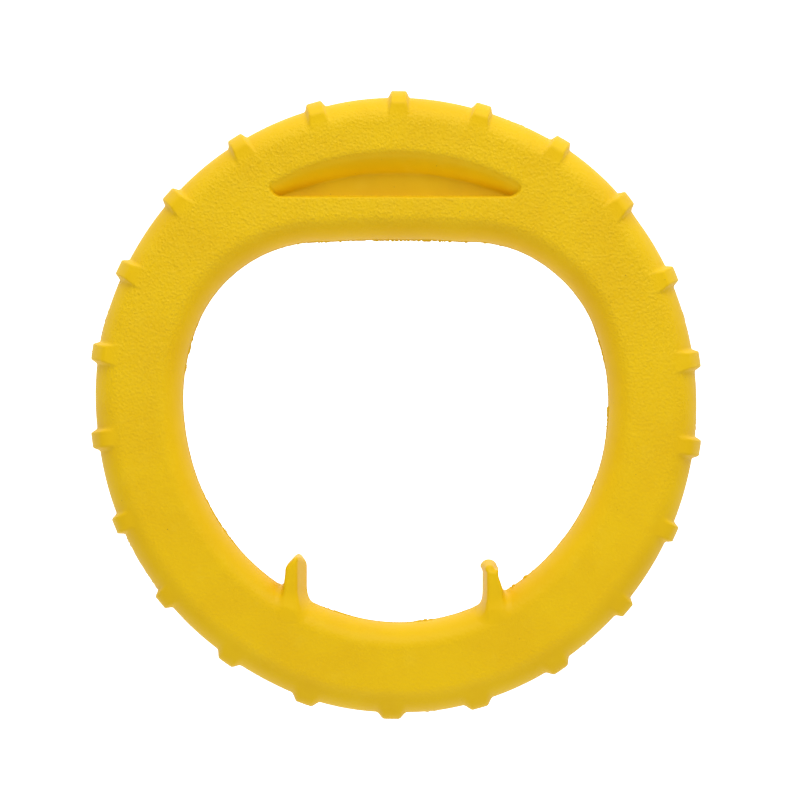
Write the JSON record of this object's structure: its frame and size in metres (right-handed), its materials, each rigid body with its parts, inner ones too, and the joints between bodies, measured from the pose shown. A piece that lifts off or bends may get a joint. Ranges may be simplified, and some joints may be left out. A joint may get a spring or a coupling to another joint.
{
  "type": "juggling ring",
  "caption": "Thick hollow moulded ring with ribs round its outer edge, an opening with a flattened top, a crescent finger recess in the front face and two small prongs in the opening.",
  "frame": {"origin": "middle of the ring's width and height, on the plane of the flat rear face", "axes": "+Z runs from the rear face to the front face with the recess; +Y runs from the centre to the flattened top and its recess; +X is to the right seen from the front"},
  "size_m": [0.2457, 0.2516, 0.028],
  "materials": {
    "grained_shell": "yellow soft polyethylene with a fine leather-like moulded grain on the face and smoother rounded edges",
    "smooth_plastic": "yellow soft polyethylene, smooth satin",
    "weld": "thin trimmed edge of yellow polyethylene, slightly ragged and paler where it was cut",
    "plug": "yellow polyethylene plug, smooth satin with a cut ring round its edge"
  },
  "bodies": {
    "root": {"front_shell": "grained_shell", "rear_shell": "grained_shell", "outer_weld": "weld", "inner_weld": "weld", "left_prong": "smooth_plastic", "right_prong": "smooth_plastic", "blow_plug": "plug"}
  },
  "joints": []
}
